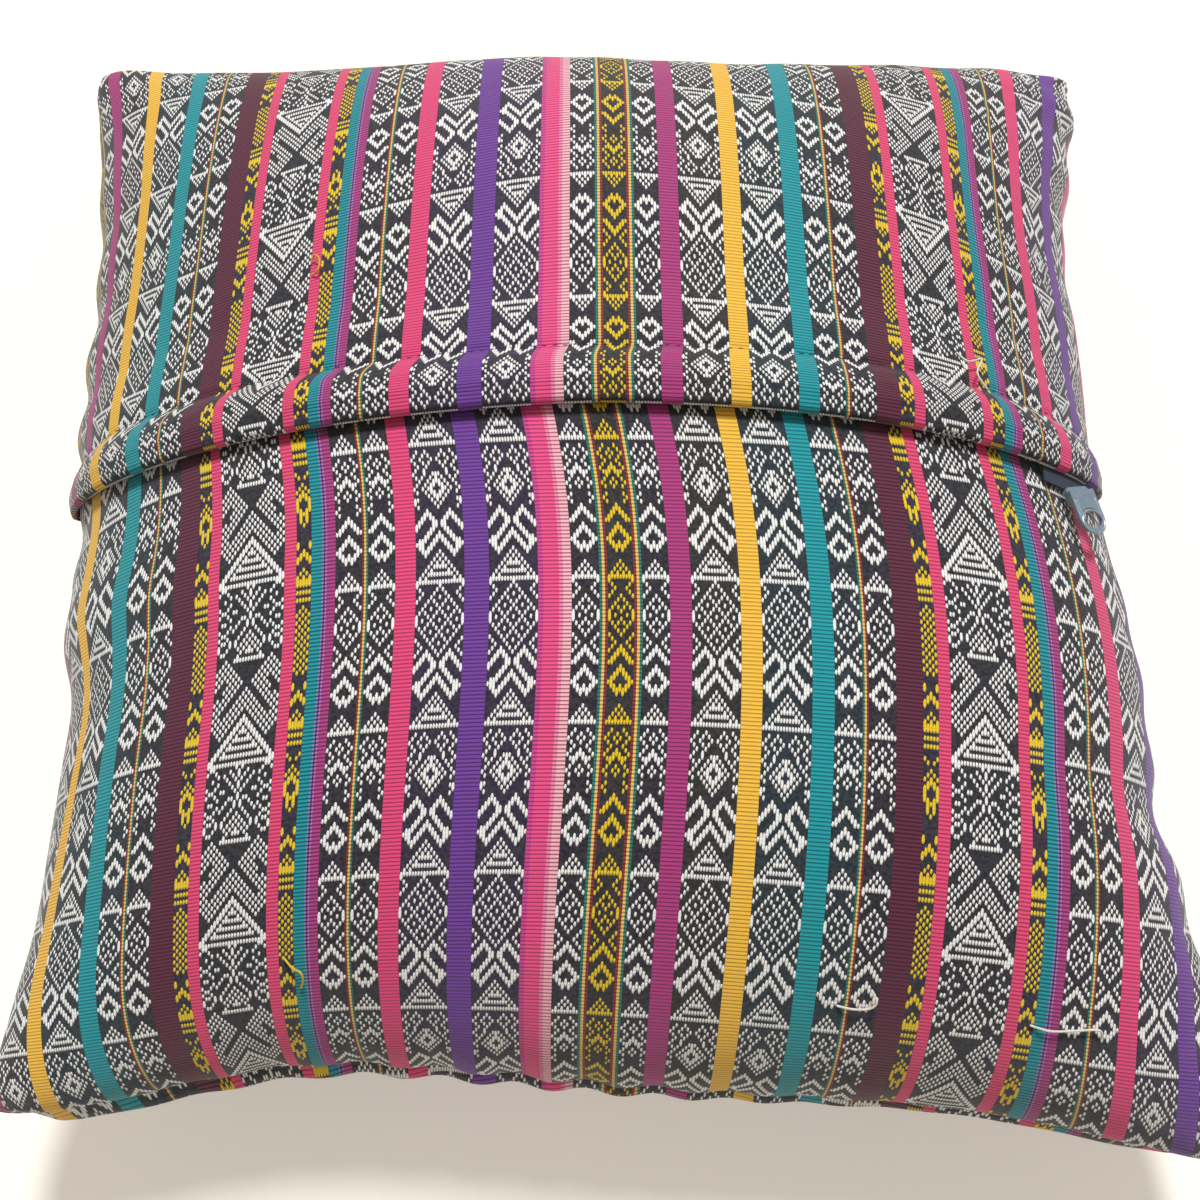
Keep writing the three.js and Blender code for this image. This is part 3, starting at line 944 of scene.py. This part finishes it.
class Nodes:
    """Short ways to add shader nodes. An input is a number, a colour or a node's output."""

    def __init__(self, name):
        self.material = bpy.data.materials.new(name)
        self.material.use_nodes = True
        self.tree = self.material.node_tree
        self.shader = self.tree.nodes["Principled BSDF"]

    def node(self, kind, **settings):
        made = self.tree.nodes.new(kind)
        for key, value in settings.items():
            setattr(made, key, value)
        return made

    def feed(self, socket, value):
        if isinstance(value, bpy.types.NodeSocket):
            self.tree.links.new(value, socket)
        else:
            socket.default_value = value

    def math(self, operation, *values, clamp=False):
        made = self.node("ShaderNodeMath", operation=operation, use_clamp=clamp)
        for socket, value in zip(made.inputs, values):
            self.feed(socket, value)
        return made.outputs[0]

    def dot(self, one, other):
        made = self.node("ShaderNodeVectorMath", operation="DOT_PRODUCT")
        self.feed(made.inputs[0], one)
        self.feed(made.inputs[1], other)
        return made.outputs["Value"]

    def blend(self, factor, low, high, mode="MIX"):
        made = self.node("ShaderNodeMix", data_type="RGBA", blend_type=mode)
        self.feed(made.inputs[0], factor)
        self.feed(made.inputs[6], low)
        self.feed(made.inputs[7], high)
        return made.outputs[2]

    def span(self, value, low, high):
        """0 below the low number and 1 above the high one, with a smooth rise between them."""
        made = self.node("ShaderNodeMapRange", interpolation_type="SMOOTHSTEP")
        for socket, number in zip(made.inputs, (value, low, high)):
            self.feed(socket, number)
        return made.outputs[0]

    def attribute(self, name):
        return self.node("ShaderNodeAttribute", attribute_name=name)

    def specks(self, scale, detail):
        """Fine noise that keeps its place on the object."""
        made = self.node("ShaderNodeTexNoise")
        self.feed(made.inputs["Vector"], self.node("ShaderNodeTexCoord").outputs["Object"])
        self.feed(made.inputs["Scale"], scale)
        self.feed(made.inputs["Detail"], detail)
        return made.outputs[0]

    def ramp(self, place, colours):
        made = self.node("ShaderNodeValToRGB")
        made.color_ramp.interpolation = "CONSTANT"
        stops = made.color_ramp.elements
        while len(stops) < len(colours):
            stops.new(0.999)
        for number, colour in enumerate(colours):
            stops[number].position = number / RAMP_STOPS
            stops[number].color = colour
        self.feed(made.inputs[0], place)
        return made.outputs[0]


def chart_colour(nodes, row, columns_of_numbers):
    """The repeating chart's numbers for a row, in red, green and blue, from as many ramps as it needs."""
    found = None
    total = len(columns_of_numbers[0])
    row = nodes.math("FLOORED_MODULO", row, total)
    for begin in range(0, total, RAMP_STOPS):
        colours = [
            [numbers[k] / CHART_SCALE for numbers in columns_of_numbers] + [1.0]
            for k in range(begin, min(begin + RAMP_STOPS, total))
        ]
        place = nodes.math("DIVIDE", nodes.math("ADD", row, 0.5 - begin), RAMP_STOPS)
        colour = nodes.ramp(place, colours)
        if found is None:
            found = colour
        else:
            found = nodes.blend(nodes.math("GREATER_THAN", row, begin - 0.5), found, colour)
    return found


def floats_at(nodes, row, divisor, chart):
    """1 where a woven row floats at a column. The divisor is 2 to the power of the column."""
    figures = chart_colour(nodes, row, (NARROW, WIDE, SMALL))
    zeros = [0] * len(LARGE)
    large = chart_colour(nodes, nodes.math("ADD", row, TRIANGLE_SHIFT), (LARGE, zeros, zeros))
    picked = nodes.dot(figures, chart.outputs["Color"])
    split = nodes.node("ShaderNodeSeparateColor")
    nodes.feed(split.inputs[0], large)
    value = nodes.math("ADD", picked, nodes.math("MULTIPLY", split.outputs[0], chart.outputs["Alpha"]))
    number = nodes.math("MULTIPLY_ADD", value, CHART_SCALE, 0.5)
    shifted = nodes.math("FLOOR", nodes.math("DIVIDE", number, divisor))
    return nodes.math("FLOORED_MODULO", shifted, 2.0)


FLOAT_SLANT = 0.16
FLOAT_HALF_WIDTH = 0.43  # in columns
BOLD_WIDER = 0.17  # where the next row floats too
BOLD_SQUEEZE = 0.4
FLOAT_HALF_HEIGHT = 0.66  # in rows
FLOAT_EDGE = (-0.06, 0.16)  # from the ground's colour to the float's
FLOAT_SHADE = (-0.05, 0.7)  # painted shade, from the float's darker edge to its middle
RIB_RISE = (-0.9, 0.1)  # from the gap between two ribs to the crest, in relief and in the painted shade and highlight of the colour
CLOTH_SPECKS = (900.0, 3.0)  # scale, detail
FIBRE_CONTRAST = (0.3, 0.7)
PLAIN_SPECKS = (700.0, 2.0)
FLOAT_RELIEF = 0.9
RIB_RELIEF = 0.6
FIBRE_RELIEF = 0.15
RELIEF_DEPTH = 0.0004
RELIEF_STRENGTH = 0.8
GROUND_LIGHTER = 0.03
# How far the floats' colour is darkened at their edges, as painted shade.
PAINTED_EDGE_SHADE = (0.9, 0.87, 0.85, 1.0)
PLAIN_DARKER = 0.7


def float_shape(nodes, set_here, set_beside, across, along):
    """How high a float stands: 1 along its middle, 0 at its edge and negative outside."""
    half_width = nodes.math("MULTIPLY_ADD", set_beside, BOLD_WIDER, FLOAT_HALF_WIDTH)
    squeeze = nodes.math("MULTIPLY_ADD", set_beside, -BOLD_SQUEEZE, 1.0)
    x = nodes.math("DIVIDE", across, half_width)
    y = nodes.math("DIVIDE", nodes.math("MULTIPLY", along, squeeze), FLOAT_HALF_HEIGHT)
    reach = nodes.math("MULTIPLY_ADD", x, x, nodes.math("MULTIPLY", y, y))
    inside = nodes.math("SUBTRACT", 1.0, reach)
    return nodes.math("SUBTRACT", nodes.math("MULTIPLY", nodes.math("ADD", inside, 2.0), set_here), 2.0)


def cloth_material(name):
    """The weave: brocade floats with painted shade at their edges on a dark ground in the figured stripes,
    and ribs with painted highlight and shade in the plain ones.
    """
    nodes = Nodes(name)
    place = nodes.node("ShaderNodeUVMap", uv_map="cloth")
    split = nodes.node("ShaderNodeSeparateXYZ")
    nodes.feed(split.inputs[0], place.outputs[0])
    column, row = split.outputs[0], split.outputs[1]
    chart = nodes.attribute("chart")
    ground = nodes.attribute("ground").outputs["Color"]
    thread = nodes.attribute("thread").outputs["Color"]
    figured = nodes.dot(chart.outputs["Color"], (1.0, 1.0, 1.0))
    figured = nodes.math("ADD", figured, chart.outputs["Alpha"], clamp=True)

    own_column = nodes.math("ROUND", column)
    across = nodes.math("SUBTRACT", column, own_column)
    divisor = nodes.math("POWER", 2.0, nodes.math("ABSOLUTE", own_column))
    own_row = nodes.math("ROUND", row)
    along = nodes.math("SUBTRACT", row, own_row)
    step = nodes.math("SIGN", along)
    next_row = nodes.math("ADD", own_row, step)
    here = floats_at(nodes, own_row, divisor, chart)
    beside = floats_at(nodes, next_row, divisor, chart)
    leaning = nodes.math("MULTIPLY_ADD", along, FLOAT_SLANT, across)
    own_shape = float_shape(nodes, here, beside, leaning, along)
    next_along = nodes.math("SUBTRACT", along, step)
    next_shape = float_shape(nodes, beside, here, leaning, next_along)
    shape = nodes.math("MAXIMUM", own_shape, next_shape)
    floating = nodes.math("MULTIPLY", nodes.span(shape, *FLOAT_EDGE), figured)

    fibre = nodes.span(nodes.specks(*CLOTH_SPECKS), *FIBRE_CONTRAST)

    wave = nodes.math("SINE", nodes.math("MULTIPLY", row, 2 * math.pi))
    ridge = nodes.span(wave, *RIB_RISE)
    # Painted highlight on the ribs' crests and painted shade in their gaps: the colour runs from the gap's
    # colour to the crest's.
    ribs = nodes.blend(ridge, thread, ground)
    ground_light = nodes.blend(GROUND_LIGHTER, ground, (1.0, 1.0, 1.0, 1.0))
    plain = nodes.blend(fibre, ground, ground_light)
    base = nodes.blend(figured, ribs, plain)
    # Painted shade: each float's colour darkens from its middle towards its edges.
    thread_in_painted_shade = nodes.blend(1.0, thread, PAINTED_EDGE_SHADE, "MULTIPLY")
    thread_shade = nodes.blend(nodes.span(shape, *FLOAT_SHADE), thread_in_painted_shade, thread)
    colour = nodes.blend(floating, base, thread_shade)
    nodes.feed(nodes.shader.inputs["Base Color"], colour)

    raised = nodes.math("MULTIPLY", nodes.math("MAXIMUM", shape, 0.0), floating)
    rib_height = nodes.math("MULTIPLY", nodes.math("SUBTRACT", 1.0, figured), ridge)
    height = nodes.math("MULTIPLY_ADD", raised, FLOAT_RELIEF, nodes.math("MULTIPLY", rib_height, RIB_RELIEF))
    height = nodes.math("MULTIPLY_ADD", fibre, FIBRE_RELIEF, height)
    bump = nodes.node("ShaderNodeBump")
    bump.inputs["Distance"].default_value = RELIEF_DEPTH
    bump.inputs["Strength"].default_value = RELIEF_STRENGTH
    nodes.feed(bump.inputs["Height"], height)
    nodes.feed(nodes.shader.inputs["Normal"], bump.outputs[0])
    nodes.shader.inputs["Roughness"].default_value = 0.85
    nodes.shader.inputs["Sheen Weight"].default_value = 0.34
    nodes.shader.inputs["Specular IOR Level"].default_value = 0.25
    return nodes.material


def plain_material(name, colour, roughness, metallic=0.0):
    nodes = Nodes(name)
    darker = [PLAIN_DARKER * part for part in colour[:3]] + [1.0]
    specked = nodes.blend(nodes.specks(*PLAIN_SPECKS), darker, colour)
    nodes.feed(nodes.shader.inputs["Base Color"], specked)
    nodes.shader.inputs["Roughness"].default_value = roughness
    nodes.shader.inputs["Metallic"].default_value = metallic
    return nodes.material


def wear(piece, material):
    piece.data.materials.clear()
    piece.data.materials.append(material)


# ---- camera, floor and light

CAMERA_PLACE = (-3.06, -186.43, 503.94)  # over the floor, in the plan's own measure
CAMERA_TURNS = (19.7776, 0.1029, -1.2198)  # pitch, yaw, roll
LENS = 37.62
SENSOR_WIDTH = 36.0
NEAREST_SEEN = 0.01
FLOOR_HALF_SIZE = 6.0
FLOOR_BELOW = 0.0003
FLOOR_COLOUR = (0.82, 0.78, 0.69, 1.0)
FLOOR_GLOW_COLOUR = (1.0, 0.93, 0.84, 1.0)
FLOOR_GLOW = 0.36  # seen by the camera only, so it adds no light to the object
ROOM_COLOUR = (1.0, 0.92, 0.83, 1.0)
ROOM_STRENGTH = 0.32
KEY_COLOUR = (0.96, 0.985, 1.0)
KEY_STRENGTH = 2.8
KEY_ANGLE = 13
KEY_FROM = (0.08, 0.55, 0.85)


def add_camera(middle):
    pitch, yaw, roll = (math.radians(turn) for turn in CAMERA_TURNS)
    camera = add_object("camera", bpy.data.cameras.new("camera"))
    camera.data.lens = LENS
    camera.data.sensor_width = SENSOR_WIDTH
    camera.data.clip_start = NEAREST_SEEN
    turn = Matrix.Rotation(roll, 4, "Z") @ Matrix.Rotation(pitch, 4, "X") @ Matrix.Rotation(yaw, 4, "Y")
    x, y, z = CAMERA_PLACE
    move = Matrix.Translation(Vector((x - middle[0], y - middle[1], z)) * METRES)
    camera.matrix_world = move @ turn
    bpy.context.scene.camera = camera


def add_floor():
    mesh = bpy.data.meshes.new("floor")
    corners = [(FLOOR_HALF_SIZE * x, FLOOR_HALF_SIZE * y, 0) for x, y in ((-1, -1), (1, -1), (1, 1), (-1, 1))]
    mesh.from_pydata(corners, [], [(0, 1, 2, 3)])
    floor = add_object("floor", mesh)
    floor.location.z = -FLOOR_BELOW
    nodes = Nodes("floor_white")
    nodes.shader.inputs["Base Color"].default_value = FLOOR_COLOUR
    nodes.shader.inputs["Roughness"].default_value = 0.9
    nodes.shader.inputs["Emission Color"].default_value = FLOOR_GLOW_COLOUR
    path = nodes.node("ShaderNodeLightPath")
    glow = nodes.math("MULTIPLY", path.outputs["Is Camera Ray"], FLOOR_GLOW)
    nodes.feed(nodes.shader.inputs["Emission Strength"], glow)
    wear(floor, nodes.material)


def add_lights():
    world = bpy.data.worlds.new("studio")
    world.use_nodes = True
    tree = world.node_tree
    background = tree.nodes["Background"]
    background.inputs[0].default_value = ROOM_COLOUR
    background.inputs[1].default_value = ROOM_STRENGTH
    bpy.context.scene.world = world
    sun = add_object("key_light", bpy.data.lights.new("key_light", "SUN"))
    sun.data.energy = KEY_STRENGTH
    sun.data.color = KEY_COLOUR
    sun.data.angle = math.radians(KEY_ANGLE)
    sun.rotation_mode = "QUATERNION"
    sun.rotation_quaternion = Vector(KEY_FROM).to_track_quat("Z", "Y")


# ---- the scene

bpy.context.scene.view_settings.view_transform = "Standard"
top_grid, belly_grid, plan_middle = cushion_grids()
top_grid, belly_grid = filled_grids(top_grid, belly_grid)
add_camera(plan_middle)
add_floor()
add_lights()
top_surface = Surface(top_grid)
belly_surface = Surface(belly_grid, outward=-1)

handwoven = cloth_material("handwoven_cloth")
front = front_panel(top_surface, belly_surface)
lower = lower_panel(top_surface)
flap = flap_panel(top_surface)
for piece, node, slot in (
    (front, "front_panel", "front_cloth"),
    (lower, "back_lower_panel", "back_cloth"),
    (flap, "back_flap_panel", "back_cloth"),
):
    wear(piece, handwoven)
    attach(piece, "root")
    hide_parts(node)

stitches = hem_stitches(top_surface)
white_threads = loose_threads("loose_threads_white", top_surface, WHITE_THREADS)
yellow_threads = loose_threads("loose_threads_yellow", top_surface, YELLOW_THREADS)
for piece, code in ((stitches, "2a2030"), (white_threads, "f4efe2"), (yellow_threads, "edc52e")):
    wear(piece, plain_material(piece.name, srgb(code), roughness=0.8))
    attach(piece, "root")

slate = plain_material("slate_metal", srgb("93a8b8"), roughness=0.38, metallic=0.3)
bright = plain_material("bright_metal", srgb("b4c3cf"), roughness=0.3, metallic=0.5)
for piece in pull_lines(plan_middle):
    wear(piece, bright)
    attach(piece, "root")
# The zip tape's own dark slate, darkened further as painted shade from the flap's hem over it.
tape_with_painted_shade = plain_material("zip_tape_cloth", srgb("3c4656"), roughness=0.8)
for node, material in (("zip_tape", tape_with_painted_shade), ("zip_slider", slate), ("zip_pull", slate)):
    wear(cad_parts[node], material)
